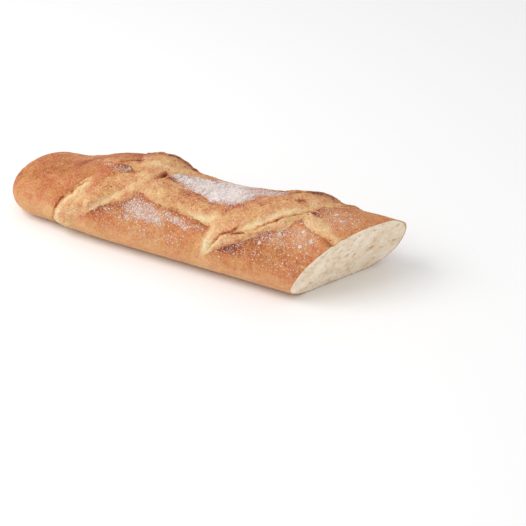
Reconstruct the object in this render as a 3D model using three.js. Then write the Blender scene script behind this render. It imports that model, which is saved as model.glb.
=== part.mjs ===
// One end of a long rustic wheat loaf, slashed on top before baking and then cut off on the bias.
// Millimetres, +Z up. The loaf lies along X, with its rounded tip at -X and its cut face at +X,
// and stands on its flat base at Z = 0. The origin is under the middle of its length and width.

import * as THREE from "three";

// Driving dimensions of the plain form. Lengths along the loaf are counted from its tip.
const HALF_WIDTH = 40;
const HEIGHT = 50;
const WIDEST_LEVEL = 16;
const TIP_LEVEL = 13;
const TIP_LENGTH = 32;
const FULL_SIZE_FROM = 93;
const SHOULDER_WIDTH = 0.86; // shares of the full size where the rounded tip ends
const SHOULDER_HEIGHT = 0.7;
const BASE_FLATTENING = 2; // how far the round underside is pressed flat by the oven floor
const TOP_ROUNDNESS = 2.2; // exponents of the superellipses: 2 is an ellipse, more is squarer
const UNDERSIDE_ROUNDNESS = 2.5;
const TIP_ROUNDNESS = 2.3;

// The bias cut: where it meets the base on the middle line, and how it runs from there.
const CUT_AT_BASE = 257;
const CUT_BIAS = 0.53; // millimetres along the loaf for each one across it
const CUT_LEAN = 0.48; // millimetres along the loaf for each one up, as the knife was held aslant

// The loaf's middle in its own lengths, so that the origin lies under the middle of the whole.
const MIDDLE_ALONG = 146.1;
const MIDDLE_ACROSS = 1;

// The tight floury skin between the slashes holds the loaf in, which makes a waist on top.
// It fades out down the sides, between two distances round from the top line.
const WAIST = { along: 160, length: 40, depth: 4.6, fadeFrom: 30, fadeTo: 60 };

// Slashes, which opened in the oven. A station is [along, round, opening's half width, swell, curl]:
// round is the distance over the crust from the top line, less than 0 on the near side (-Y), swell
// is how far the crust was lifted there, and curl is how much of its whole height the lip has. The
// lip is the torn edge of skin that curled up: 1 is to the left of the slash as it runs, -1 to the
// right. On its other side the bloom runs softly into the skin.
const SLASHES = [
  {
    stations: [
      [58, -88, 7, 0, 0.2], [58.5, -73, 8.5, 0, 0.3], [63, -57, 10.5, 1, 0.4], [67.5, -46, 11, 1, 0.4],
      [72.5, -38, 9.5, 1, 0.4], [75, -30, 6, 1, 0.4], [77, -18, 0, 0, 0],
    ],
    lip: 1,
  },
  {
    stations: [
      [76, -54, 0, 0, 0], [84, -41, 6.6, 1, 0.9], [92.5, -32, 9.8, 1, 1], [104, -24, 11.8, 2, 0.9],
      [116, -14, 9.5, 3, 0.5], [117, 5, 16, 4, 0.3], [114.5, 28, 20, 4.6, 0], [110, 56, 0, 2, 0],
    ],
    lip: -1,
  },
  {
    stations: [
      [62, 4, 0, 0, 0], [82, -1, 4.5, 1, 0.2], [98, -3, 4.5, 2, 0.3], [106, -5.5, 4.3, 2, 0.3],
      [114, -10, 4.5, 1, 0.2], [121, -15.5, 10, 1, 0.2], [128, -17, 11.2, 1, 0.3],
      [136, -17.8, 12, 1, 0.4], [150, -19.6, 11.4, 1, 0.6], [158, -21.2, 11.2, 1, 0.8],
      [167, -23.8, 9.7, 1, 0.9], [178, -26, 8.4, 1, 0.6], [194, -33, 0, 0, 0],
    ],
    lip: -1,
  },
  {
    stations: [
      [118, -8, 2, 0, 0.7], [121, -1, 4.4, 0, 0.9], [126.5, 6.5, 6, 0, 0.6], [132.5, 12, 6, 0, 0.3],
      [146, 20.5, 6.5, 0, 0.2], [156, 27, 5, 0, 0], [170, 36, 0, 0, 0],
    ],
    lip: -1,
  },
  {
    stations: [
      [174, -58, 0, 0, 0], [180, -46, 7, 1, 0.7], [188.5, -34.5, 12.5, 1, 1],
      [201.5, -23.4, 14.5, 2, 1], [209.8, -13.8, 18, 3, 1], [218.6, -7.2, 18.8, 3, 0.9],
      [228.5, 3.5, 14.6, 3, 0.7], [234, 22.5, 14.5, 3.2, 0.1], [241, 56, 0, 2, 0],
    ],
    lip: -1,
  },
  {
    stations: [
      [236, 3, 4, 0, 0.4], [246, 12, 4.5, 0, 0.4], [252, 18, 4.5, 0, 0.3], [258, 26, 4, 0, 0],
      [266, 40, 0, 0, 0],
    ],
    lip: -1,
  },
  {
    stations: [
      [190, 52, 0, 0, 0], [214, 24, 6, 1, 0], [234, 0, 6, 1, 0.1], [241.5, -9, 5.6, 0, 0.3],
      [247, -12.2, 6.4, 0, 0.25], [254, -15.8, 6.4, 0, 0.25], [261, -18.8, 5.6, 0, 0.25],
      [270, -22.5, 5, 0, 0.25], [290, -33, 4, 0, 0.2], [310, -44, 0, 0, 0],
    ],
    lip: -1,
  },
];
const SWELL_REACH = 17; // how far from its middle a slash lifts the crust
const SKIN_STEP = 1.5; // from the lip's torn edge down to the bloom
const STEP_REACH = 5; // how far into the bloom that step is felt
const LIP_EDGE = [-1.6, 1.6]; // where the skin ends and the bloom begins, inwards, under the lip
const BACK_EDGE = [-1.5, 4.5]; // and on the other side
const BLOOM_CROWN = 1.8; // how far the bloom rises again inside an opening
const CROWN_REACH = 5;
const LIP_HEIGHT = 1.7;
const LIP_WIDTH = 4;
const FULL_OPENING = 6; // half width of an opening that has its whole lip
const LEAST_OPENING = 2; // and of one that has a bloom of its own
const MEETING_REACH = 7; // how far one bloom reaches into another before it hides the other's lip
const RELIEF_LEVELS = [2, 12]; // between these heights over the base the relief comes up to its full

// Folds in the bloom, where it opened last. A station is [along, round, share of the full depth].
const FOLDS = [
  {
    stations: [
      [77, -24.5, 0.5], [74, -28.5, 0.8], [69, -34.5, 0.8], [62.5, -41, 0.8], [58, -48.5, 0.8],
      [56, -58, 0.7], [55, -74, 0.4],
    ],
    reach: 2.8,
    depth: 0.7,
  },
  {
    stations: [
      [84, -46, 0.3], [88, -43.5, 0.7], [92, -40, 0.9], [98, -34.5, 1], [105, -29, 0.8],
      [114, -21, 0.4], [120, -14, 0.2],
    ],
    reach: 2.6,
    depth: 1.4,
  },
  {
    stations: [
      [136, -25, 0], [144, -26, 0.3], [154, -27, 0.7], [164, -29.3, 1], [173, -30, 1], [179, -27, 0.6],
    ],
    reach: 2.6,
    depth: 1,
  },
  {
    stations: [[87, -1, 0.3], [91, 3, 0.7], [97, 5.6, 0.9], [104, 5.4, 0.8], [110, 4, 0.2]],
    reach: 2.6,
    depth: 0.6,
  },
  {
    stations: [
      [107, -7, 0.3], [111, -4, 0.6], [116, 0, 0.8], [122, 2.2, 0.8], [129, 6, 0.7], [138, 13, 0.2],
    ],
    reach: 3.2,
    depth: 0.5,
  },
  {
    stations: [
      [178, -24, 0], [178, -34, 0.7], [178, -44, 0.75], [176, -52, 0.6], [174, -62, 0.3], [172, -74, 0],
    ],
    reach: 3.2,
    depth: 0.8,
  },
  {
    stations: [
      [194, -36, 0.2], [200, -31, 0.6], [205, -28, 1], [211, -24.3, 1], [219, -16.7, 1],
      [228, -9.3, 0.9], [234, -6, 0.7], [238, 1, 0.4],
    ],
    reach: 2.6,
    depth: 1.6,
  },
];

// Facets: rings along the loaf and columns round it, closer together on top than underneath.
const TIP_RINGS = 11;
const RING_SPACING = 2.9;
const TOP_COLUMNS = 48;
const UNDERSIDE_COLUMNS = 12;
const TOP_FROM = -14; // degrees round the section, from the far widest line over the top
const TOP_TO = 194;
const LINE_STEPS = 40;
const ROUND_STEPS = 24;
const CUT_TRIES = 30;
const NORMAL_STEP = 0.05;

const { clamp, degToRad, lerp, smoothstep } = THREE.MathUtils;

// A superellipse's share of its radius, for the cosine or sine of the angle round it.
function rounded(value, roundness) {
  return Math.sign(value) * Math.abs(value) ** (2 / roundness);
}

// The plain crust, without slashes, at a distance along the loaf and an angle round its section:
// 0 is the far widest line, a quarter turn is the top and half a turn the near widest line.
function plainPoint(along, angle) {
  const intoTip = clamp(1 - along / TIP_LENGTH, 0, 1);
  const tip = (1 - intoTip ** TIP_ROUNDNESS) ** (1 / TIP_ROUNDNESS);
  const grown = smoothstep(along, TIP_LENGTH, FULL_SIZE_FROM);
  const halfWidth = HALF_WIDTH * tip * lerp(SHOULDER_WIDTH, 1, grown);
  const top = lerp(TIP_LEVEL, HEIGHT * lerp(SHOULDER_HEIGHT, 1, grown), tip);
  const widest = lerp(TIP_LEVEL, WIDEST_LEVEL, tip);
  const base = lerp(TIP_LEVEL, -BASE_FLATTENING, tip);

  const upper = Math.sin(angle) >= 0;
  const roundness = upper ? TOP_ROUNDNESS : UNDERSIDE_ROUNDNESS;
  const across = halfWidth * rounded(Math.cos(angle), roundness);
  const reach = upper ? top - widest : widest - base;
  const level = widest + reach * rounded(Math.sin(angle), roundness);
  return new THREE.Vector3(along, across, Math.max(level, 0));
}

// The distance over the full-sized crust from the top line to an angle round the section.
function roundDistance(angle) {
  let distance = 0;
  let last = plainPoint(FULL_SIZE_FROM, Math.PI / 2);
  for (let i = 1; i <= ROUND_STEPS; i++) {
    const next = plainPoint(FULL_SIZE_FROM, lerp(Math.PI / 2, angle, i / ROUND_STEPS));
    distance += next.distanceTo(last);
    last = next;
  }
  return Math.cos(angle) < 0 ? -distance : distance;
}

// A bell curve of height 1.
function bell(distance, reach) {
  return Math.exp(-((distance / reach) ** 2));
}

// A smooth line through stations, as closely spaced points with the stations' sizes between them.
function smoothLine(stations) {
  const smooth = (column) => new THREE.SplineCurve(
    stations.map((station, i) => new THREE.Vector2(i, station[column])),
  ).getPoints(LINE_STEPS).map(({ y }) => y);
  const columns = stations[0].map((_, column) => smooth(column));
  return columns[0].map((_, i) => {
    const [along, round, ...sizes] = columns.map((column) => column[i]);
    return { along, round, sizes: sizes.map((size) => Math.max(size, 0)) };
  });
}

const SLASH_LINES = SLASHES.map(({ stations }) => smoothLine(stations));
const FOLD_LINES = FOLDS.map(({ stations }) => smoothLine(stations));

// How far a point of the crust is from a line, on which side (1 is the line's left), and the
// line's sizes there.
function nearestOn(line, along, round) {
  let nearest = { away: Infinity };
  for (let i = 1; i < line.length; i++) {
    const [from, to] = [line[i - 1], line[i]];
    const run = [to.along - from.along, to.round - from.round];
    const off = [along - from.along, round - from.round];
    const lengthSquared = run[0] ** 2 + run[1] ** 2;
    const share = clamp((off[0] * run[0] + off[1] * run[1]) / lengthSquared, 0, 1);
    const away = Math.hypot(off[0] - share * run[0], off[1] - share * run[1]);
    if (away < nearest.away) {
      nearest = {
        away,
        side: Math.sign(run[0] * off[1] - run[1] * off[0]) || 1,
        sizes: from.sizes.map((size, k) => lerp(size, to.sizes[k], share)),
      };
    }
  }
  return nearest;
}

// How far the baked crust stands out of the plain form at a point.
function relief(along, round) {
  const found = SLASH_LINES.map((line) => nearestOn(line, along, round));
  const margins = found.map(({ away, sizes: [opening] }) => opening - away);
  let height = -WAIST.depth * bell(along - WAIST.along, WAIST.length);
  height *= 1 - smoothstep(Math.abs(round), WAIST.fadeFrom, WAIST.fadeTo);
  let bloom = 0;
  let lip = 0;
  let step = 0;
  found.forEach(({ away, side, sizes: [opening, swell, curl] }, i) => {
    const margin = margins[i];
    const underLip = side === SLASHES[i].lip;
    const [edgeFrom, edgeTo] = underLip ? LIP_EDGE : BACK_EDGE;
    const curled = underLip ? curl * clamp(opening / FULL_OPENING, 0, 1) : 0;
    const others = Math.max(...margins.filter((_, k) => k !== i));
    const alone = 1 - smoothstep(others, 0, MEETING_REACH);
    height += swell * bell(away, SWELL_REACH);
    bloom = Math.max(bloom, clamp(opening / LEAST_OPENING, 0, 1) * smoothstep(margin, edgeFrom, edgeTo));
    lip = Math.max(lip, curled * Math.exp(-Math.max(-margin, 0) / LIP_WIDTH));
    step = Math.max(step, curled * alone * Math.exp(-Math.max(margin, 0) / STEP_REACH));
  });
  FOLDS.forEach(({ reach, depth }, i) => {
    const { away, sizes: [share] } = nearestOn(FOLD_LINES[i], along, round);
    height -= depth * share * bell(away, reach) * bloom;
  });
  const inside = Math.max(...margins, 0);
  const crown = BLOOM_CROWN * (1 - Math.exp(-inside / CROWN_REACH));
  return height + lerp(LIP_HEIGHT * lip, crown - SKIN_STEP * step, bloom);
}

// A point of the finished crust: the plain form, moved out along its normal by the relief.
function crustPoint(along, angle, round) {
  const point = plainPoint(along, angle);
  const alongStep = plainPoint(along + NORMAL_STEP, angle).sub(point);
  const roundStep = plainPoint(along, angle + NORMAL_STEP).sub(point);
  const normal = roundStep.cross(alongStep).normalize();
  const shown = smoothstep(point.z, ...RELIEF_LEVELS);
  return point.addScaledVector(normal, shown * relief(along, round));
}

// How far along the loaf a column runs before the bias cut ends it.
function cutAlong(angle, round) {
  let along = CUT_AT_BASE;
  for (let i = 0; i < CUT_TRIES; i++) {
    const point = crustPoint(along, angle, round);
    along += CUT_AT_BASE + CUT_BIAS * point.y + CUT_LEAN * point.z - point.x;
  }
  return along;
}

// Angles of the columns, from the far side over the top and back underneath.
function columnAngles() {
  const over = Array.from({ length: TOP_COLUMNS }, (_, i) => lerp(TOP_FROM, TOP_TO, i / TOP_COLUMNS));
  const under = Array.from({ length: UNDERSIDE_COLUMNS }, (_, i) =>
    lerp(TOP_TO, TOP_FROM + 360, i / UNDERSIDE_COLUMNS));
  return [...over, ...under].map(degToRad);
}

// The rings' shares of the way from the tip to the cut, closest together at the very tip.
function ringShares() {
  const whole = CUT_AT_BASE + CUT_LEAN * WIDEST_LEVEL;
  const inTip = Array.from({ length: TIP_RINGS }, (_, i) =>
    TIP_LENGTH * (1 - Math.cos(((i + 1) / TIP_RINGS) * (Math.PI / 2))));
  const rest = Math.round((whole - TIP_LENGTH) / RING_SPACING);
  const inBody = Array.from({ length: rest }, (_, i) => lerp(TIP_LENGTH, whole, (i + 1) / rest));
  return [...inTip, ...inBody].map((along) => along / whole);
}

// The crust as rings of points from the tip to the cut, closed by the flat cut face. Each facet is
// split along the line that lies closer to the crust in its middle, so that folds run smoothly.
function loafGeometry() {
  const columns = columnAngles().map((angle) => {
    const round = roundDistance(angle);
    return { angle, round, cut: cutAlong(angle, round) };
  });
  const count = columns.length;
  const shares = ringShares();
  const places = [{ along: 0, round: 0, height: 0 }];
  const points = [new THREE.Vector3(0, 0, TIP_LEVEL)];
  for (const share of shares) {
    for (const { angle, round, cut } of columns) {
      const along = share * cut;
      places.push({ along, round, height: relief(along, round) });
      points.push(crustPoint(along, angle, round));
    }
  }

  const triangles = [];
  const at = (ring, column) => 1 + ring * count + (column % count);
  for (let column = 0; column < count; column++) triangles.push(0, at(0, column + 1), at(0, column));
  for (let ring = 1; ring < shares.length; ring++) {
    for (let column = 0; column < count; column++) {
      const corners = [[ring - 1, column], [ring - 1, column + 1], [ring, column], [ring, column + 1]];
      const [a, b, c, d] = corners.map(([r, k]) => at(r, k));
      const middle = relief(
        (places[a].along + places[d].along) / 2,
        (places[a].round + places[d].round) / 2,
      );
      const misses = (p, q) => Math.abs((places[p].height + places[q].height) / 2 - middle);
      triangles.push(...(misses(a, d) < misses(b, c) ? [a, b, d, a, d, c] : [a, b, c, b, d, c]));
    }
  }
  const rim = shares.length - 1;
  const outline = columns.map((_, column) => points[at(rim, column)]);
  const flat = outline.map(({ y, z }) => new THREE.Vector2(y, z));
  for (const corners of THREE.ShapeUtils.triangulateShape(flat, [])) {
    triangles.push(...corners.map((column) => at(rim, column)));
  }

  const geometry = new THREE.BufferGeometry().setFromPoints(points);
  geometry.setIndex(triangles);
  geometry.computeVertexNormals();
  return geometry;
}

const crust = new THREE.MeshStandardMaterial({ color: 0xd1935f, roughness: 0.72, metalness: 0 });
const loaf = new THREE.Mesh(loafGeometry(), crust);
loaf.name = "loaf";
loaf.position.set(-MIDDLE_ALONG, -MIDDLE_ACROSS, 0);

const part = new THREE.Group();
part.add(loaf);
export default part;
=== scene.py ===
import math

import bmesh
import bpy
import numpy as np
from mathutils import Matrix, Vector, geometry


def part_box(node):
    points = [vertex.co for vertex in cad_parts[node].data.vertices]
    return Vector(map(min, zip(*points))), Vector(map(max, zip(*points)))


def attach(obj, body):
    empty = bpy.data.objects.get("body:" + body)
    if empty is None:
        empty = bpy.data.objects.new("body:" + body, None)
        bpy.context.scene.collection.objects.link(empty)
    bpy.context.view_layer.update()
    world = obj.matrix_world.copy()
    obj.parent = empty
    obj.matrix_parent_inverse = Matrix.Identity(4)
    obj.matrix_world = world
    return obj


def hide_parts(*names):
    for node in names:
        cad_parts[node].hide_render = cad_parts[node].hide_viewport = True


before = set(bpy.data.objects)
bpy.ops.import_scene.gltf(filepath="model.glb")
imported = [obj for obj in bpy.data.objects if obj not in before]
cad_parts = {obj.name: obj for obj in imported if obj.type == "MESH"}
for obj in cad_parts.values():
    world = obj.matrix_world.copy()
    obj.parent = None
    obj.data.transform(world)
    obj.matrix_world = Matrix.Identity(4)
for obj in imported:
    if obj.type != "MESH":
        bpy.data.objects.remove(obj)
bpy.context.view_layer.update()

# The loaf's plain form in millimetres. Lengths along it are counted from its tip.
HALF_WIDTH = 40
HEIGHT = 50
WIDEST_LEVEL = 16
TIP_LEVEL = 13
TIP_LENGTH = 32
FULL_SIZE_FROM = 93
SHOULDER_WIDTH = 0.86
SHOULDER_HEIGHT = 0.7
BASE_FLATTENING = 2
TOP_ROUNDNESS = 2.2
UNDERSIDE_ROUNDNESS = 2.5
TIP_ROUNDNESS = 2.3
CUT_AT_BASE = 257
CUT_BIAS = 0.53
CUT_LEAN = 0.48
MIDDLE_ACROSS = 1.0
WAIST_ALONG = 160
WAIST_LENGTH = 40
WAIST_DEPTH = 4.6
WAIST_FADE = (30, 60)  # round from the top line, down the sides
RELIEF_LEVELS = (2, 12)  # between these heights the relief comes up to its full
MILLIMETRE = 0.001

# The slashes. A station is (along, round, opening's half width, swell, browning of the bloom, how
# far the lip curls up): round is the distance over the crust from the top line, less than 0 on the
# near side, and browning runs from 0, pale, to 1, dark. The lip is on the slash's left (1) or right
# (-1) as it runs. On its other side, the back, the bloom runs into the skin, more or less browned.
# Dust is how much flour clings to the lip.
SLASHES = [
    {
        "stations": [
            (58, -88, 7, 0, 0.3, 0.2), (58.5, -73, 8.5, 0, 0.3, 0.3), (63, -57, 10.5, 1, 0.34, 0.4),
            (67.5, -46, 11, 1, 0.36, 0.4), (72.5, -38, 9.5, 1, 0.38, 0.4),
            (75, -30, 6, 1, 0.38, 0.4), (77, -18, 0, 0, 0.45, 0),
        ],
        "lip": 1, "back": 0.0, "dust": 0.0,
    },
    {
        "stations": [
            (76, -54, 0, 0, 0.42, 0), (84, -41, 6.6, 1, 0.42, 0.9), (92.5, -32, 9.8, 1, 0.49, 1),
            (104, -24, 11.8, 2, 0.49, 0.9), (116, -14, 9.5, 3, 0.38, 0.5),
            (117, 5, 16, 4, 0.39, 0.3), (114.5, 28, 20, 4.6, 0.43, 0), (110, 56, 0, 2, 0.5, 0),
        ],
        "lip": -1, "back": 0.4, "dust": 0.5,
    },
    {
        "stations": [
            (62, 4, 0, 0, 0.5, 0), (82, -1, 4.5, 1, 0.5, 0.2), (98, -3, 4.5, 2, 0.46, 0.3),
            (106, -5.5, 4.3, 2, 0.44, 0.3), (114, -10, 4.5, 1, 0.4, 0.2),
            (121, -15.5, 10, 1, 0.35, 0.2), (128, -17, 11.2, 1, 0.35, 0.3),
            (136, -17.8, 12, 1, 0.38, 0.4), (150, -19.6, 11.4, 1, 0.58, 0.6),
            (158, -21.2, 11.2, 1, 0.49, 0.8), (167, -23.8, 9.7, 1, 0.43, 0.9),
            (178, -26, 8.4, 1, 0.38, 0.6), (194, -33, 0, 0, 0.34, 0),
        ],
        "lip": -1, "back": 0.35, "dust": 0.35,
    },
    {
        "stations": [
            (118, -8, 2, 0, 0.4, 0.7), (121, -1, 4.4, 0, 0.42, 0.9), (126.5, 6.5, 6, 0, 0.38, 0.6),
            (132.5, 12, 6, 0, 0.36, 0.3), (146, 20.5, 6.5, 0, 0.36, 0.2), (156, 27, 5, 0, 0.4, 0),
            (170, 36, 0, 0, 0.5, 0),
        ],
        "lip": -1, "back": 0.0, "dust": 0.0,
    },
    {
        "stations": [
            (174, -58, 0, 0, 0.32, 0), (180, -46, 7, 1, 0.32, 0.7),
            (188.5, -34.5, 12.5, 1, 0.38, 1), (201.5, -23.4, 14.5, 2, 0.47, 1),
            (209.8, -13.8, 18, 3, 0.48, 1), (218.6, -7.2, 18.8, 3, 0.46, 0.9),
            (228.5, 3.5, 14.6, 3, 0.46, 0.7), (234, 22.5, 14.5, 3.2, 0.49, 0.1),
            (241, 56, 0, 2, 0.5, 0),
        ],
        "lip": -1, "back": 0.3, "dust": 0.62,
    },
    {
        "stations": [
            (236, 3, 4, 0, 0.38, 0.4), (246, 12, 4.5, 0, 0.4, 0.4), (252, 18, 4.5, 0, 0.44, 0.3),
            (258, 26, 4, 0, 0.5, 0), (266, 40, 0, 0, 0.5, 0),
        ],
        "lip": -1, "back": 0.0, "dust": 0.5,
    },
    {
        "stations": [
            (190, 52, 0, 0, 0.5, 0), (214, 24, 6, 1, 0.5, 0), (234, 0, 6, 1, 0.42, 0.1),
            (241.5, -9, 5.6, 0, 0.34, 0.3), (247, -12.2, 6.4, 0, 0.35, 0.25),
            (254, -15.8, 6.4, 0, 0.37, 0.25), (261, -18.8, 5.6, 0, 0.42, 0.25),
            (270, -22.5, 5, 0, 0.4, 0.25), (290, -33, 4, 0, 0.38, 0.2), (310, -44, 0, 0, 0.4, 0),
        ],
        "lip": -1, "back": 0.2, "dust": 0.3,
    },
]
SLASH_STEPS = 48  # along the line of a slash, fold or fissure
SWELL_REACH = 17  # how far from its middle a slash lifts the crust
SKIN_STEP = 1.5  # from the lip's torn edge down to the bloom
STEP_REACH = 5  # how far into the bloom that step is felt
SKIN_EDGE = 0.6  # half of where the skin turns to bloom under the lip
BACK_EDGE = (-1.5, 4.5)  # and where it does on the other side
BLOOM_CROWN = 1.8  # how far the bloom rises again inside an opening
CROWN_REACH = 5
LIP_HEIGHT = 1.7
LIP_WIDTH = 4.0
RIM_WIDTH = 1.6  # of the dark rim of a lip
RIM_GAIN = 1.5  # a lip that curls up by two thirds has the whole rim
DUST_WIDTH = 5.0
BACK_WIDTH = 3
FULL_OPENING = 6  # half width of an opening that has its whole lip
LEAST_OPENING = 2  # and of one that has a bloom of its own
MEETING_REACH = 7  # how far one bloom reaches into another before it hides the other's lip

# Unevenness of the crust: (size across, how much, seed of its draw).
JAGS_ALONG = [(8, 1.3, 1), (2.6, 0.8, 2)]
JAGS_ROUND = [(8, 1.3, 3), (2.6, 0.8, 4)]
BLOOM_BUMPS = [(3.4, 0.35, 7), (1.7, 0.22, 13)]
SKIN_BUMPS = [(9, 0.35, 8), (2.6, 0.15, 9)]
TEAR_GAPS = [(4, 1, 6)]
BAKE_PATCHES = [(26, 1, 10)]
BAKE_MOTTLE = [(9, 1, 14), (4, 0.7, 15)]
CRUMB_BUMPS = [(1.4, 1, 12)]

# The terraces of the bloom, which run along its slash: their size across and along, and height.
TERRACES = [(1.7, 1, 5)]
TERRACE_STRETCH = 6
TERRACE_HEIGHT = 0.5
SLASHES_APART = 20.0  # keeps one slash's terraces from repeating the next one's

# The pale folds of the bloom, which opened last, the fissures that tore in it and under the lips,
# darkened with painted shade in their cracks, and the toasted crests, whose depth is less than 0.
# A station is (along, round, strength).
# Edge is how far the torn skin stands up beside a fissure.
FOLDS = [
    {
        "stations": [
            (77, -24.5, 0.5), (74, -28.5, 0.8), (69, -34.5, 0.8), (62.5, -41, 0.8),
            (58, -48.5, 0.8), (56, -58, 0.7), (55, -74, 0.4),
        ],
        "reach": 2.8, "depth": 0.7,
    },
    {
        "stations": [
            (82, -47, 0.8), (87, -44, 1.2), (92, -40, 1.3), (98, -34.5, 1.3), (105, -29, 1.1),
            (114, -21, 0.6), (120, -14, 0.2),
        ],
        "reach": 2.0, "depth": 1.1,
    },
    {
        "stations": [
            (136, -25, 0), (144, -26, 0.3), (154, -27, 0.7), (164, -29.3, 1), (173, -30, 1),
            (179, -27, 0.6),
        ],
        "reach": 2.6, "depth": 1.0,
    },
    {
        "stations": [(87, -1, 0.3), (91, 3, 0.7), (97, 5.6, 0.9), (104, 5.4, 0.8), (110, 4, 0.2)],
        "reach": 2.2, "depth": 0.6,
    },
    {
        "stations": [
            (107, -7, 0.3), (111, -4, 0.6), (116, 0, 0.8), (122, 2.2, 0.8), (129, 6, 0.7),
            (138, 13, 0.2),
        ],
        "reach": 3.2, "depth": 0.5,
    },
    {
        "stations": [
            (178, -24, 0), (178, -34, 0.7), (178, -44, 0.75), (176, -52, 0.6), (174, -62, 0.3),
            (172, -74, 0),
        ],
        "reach": 3.2, "depth": 0.8,
    },
    {
        "stations": [
            (194, -36, 0.2), (200, -31, 0.6), (205, -28, 1.1), (211, -24.3, 1.3), (219, -16.7, 1.1),
            (228, -9.3, 0.9), (234, -6, 0.7), (238, 1, 0.4),
        ],
        "reach": 2.6, "depth": 1.3,
    },
    {
        "stations": [
            (183, -46.5, 0.8), (191, -41, 0.8), (199, -37, 0.5), (207, -32, 0.6), (215, -27.5, 0.5),
            (225, -20, 0.15), (232, -15, 0),
        ],
        "reach": 2.6, "depth": 0.5,
    },
]
FISSURES = [
    {
        "stations": [
            (50, -74, 0.5), (51, -62, 0.9), (53, -53, 0.7), (55, -46, 0.4), (59, -40.4, 0.7),
            (66, -34, 1.5), (71, -30, 1.6), (74.5, -27, 1.4), (77, -25, 0),
        ],
        "reach": 1.1, "depth": 0.2, "edge": 0.0,
    },
    {
        "stations": [
            (177, -52, 0.4), (181, -48, 1), (184, -43, 1.1), (189, -37.6, 1.2), (194, -34, 1),
            (197, -31, 0.7), (201, -28, 0.2),
        ],
        "reach": 0.9, "depth": 1.0, "edge": 0.4,
    },
    {
        "stations": [
            (206, -31.6, 0.2), (210, -29.4, 0.7), (213.5, -26, 0.8), (218.5, -22, 1),
            (222.5, -18.4, 1.3), (226, -15.2, 1.5), (231, -11.4, 1.4), (236, -8, 1.1),
            (240, -5, 0.5),
        ],
        "reach": 0.9, "depth": 0.9, "edge": 0.6,
    },
    {
        "stations": [
            (193, -36.5, 0.2), (195, -35.5, 1.1), (199, -34, 1.2), (203, -34.3, 0.8), (205, -35, 0),
        ],
        "reach": 0.8, "depth": 0.7, "edge": 0.2,
    },
    {
        "stations": [
            (90, -5.7, 0.2), (93, -3.8, 0.5), (97, -1, 0.6), (105, 2, 0.45), (110, 2.8, 0.1),
        ],
        "reach": 1.2, "depth": 0.5, "edge": 0.3,
    },
    {
        "stations": [
            (124, -14, 0.3), (124.8, -10.5, 1), (125.4, -7.4, 1.7), (126, -4.4, 1.8),
            (126.6, -2.2, 1.2), (127.5, -0.5, 0),
        ],
        "reach": 1.3, "depth": 1.4, "edge": 0.0,
    },
    {
        "stations": [(236, -7.5, 0.4), (239.5, -5.2, 1.1), (243, -4.6, 0.9), (248, -5.5, 0.3)],
        "reach": 1.4, "depth": 0.9, "edge": 0.0,
    },
    {
        "stations": [(127, -3, 0.4), (132, -4.2, 0.4), (138, -6, 0.2), (144, -7.4, 0)],
        "reach": 1.6, "depth": -0.2, "edge": 0.0,
    },
    {
        "stations": [
            (96, 13, 0.2), (114, 18.5, 0.5), (121, 21.5, 0.7), (131, 24.5, 0.6), (145, 21.5, 0.7),
            (160, 18.5, 0.5),
        ],
        "reach": 2.4, "depth": -0.2, "edge": 0.0,
    },
    {
        "stations": [
            (214, 11, 0.3), (226, 12, 0.5), (233, 18, 0.5), (239, 21, 0.5), (246, 19, 0.4),
            (256, 18, 0.3),
        ],
        "reach": 2.6, "depth": -0.2, "edge": 0.0,
    },
    {
        "stations": [
            (181, -48.7, 0.15), (186, -48.5, 0.2), (193, -47, 0.2), (199, -45.5, 0.1),
            (206, -39, 0),
        ],
        "reach": 1.5, "depth": -0.2, "edge": 0.0,
    },
    {
        "stations": [
            (136, -31, 0.1), (143, -32.5, 0.15), (150, -33, 0.15), (158, -34.4, 0.15),
            (167, -35.4, 0.15), (175, -35, 0.1),
        ],
        "reach": 2.2, "depth": -0.2, "edge": 0.0,
    },
    {
        "stations": [
            (246, -18, 0.1), (252, -21.4, 0.3), (260, -24.6, 0.45), (268, -27.2, 0.45),
            (280, -32, 0.2),
        ],
        "reach": 2.0, "depth": -0.2, "edge": 0.0,
    },
]
TORN_EDGE_OFF = 1.9  # from the middle of a fissure to the skin beside it
TORN_EDGE_REACH = 1.0
TEAR_LEAST = 0.6  # of a fissure's strength, where it nearly closes
TEAR_RANGE = (-0.6, 0.4)

# How dark the crust is, from 0 to 1: the oven's browning of the skin from the base up to the top,
# and what the lips, folds, terraces and tears add or take away. What the tears add is painted shade
# in the fissures and browning on the crests.
SKIN_BAKE = (0.08, 0.5)
BAKE_LEVELS = (3, 32)
PATCH_BAKE = 0.07
SKIN_MOTTLE = 0.05
BLOOM_MOTTLE = 0.07
SCORCH_MOTTLE = 0.6
LIP_BAKE = 0.18
LIP_BAKE_CURVE = 0.7
RIM_BAKE = 0.22
BACK_BAKE = 0.14
TERRACE_BAKE = 0.08
FOLD_BAKE = -0.3
# Painted shade in the fissures' cracks, and browning on the toasted crests.
TEAR_SHADE_AND_CREST_TOAST = 0.5
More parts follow.
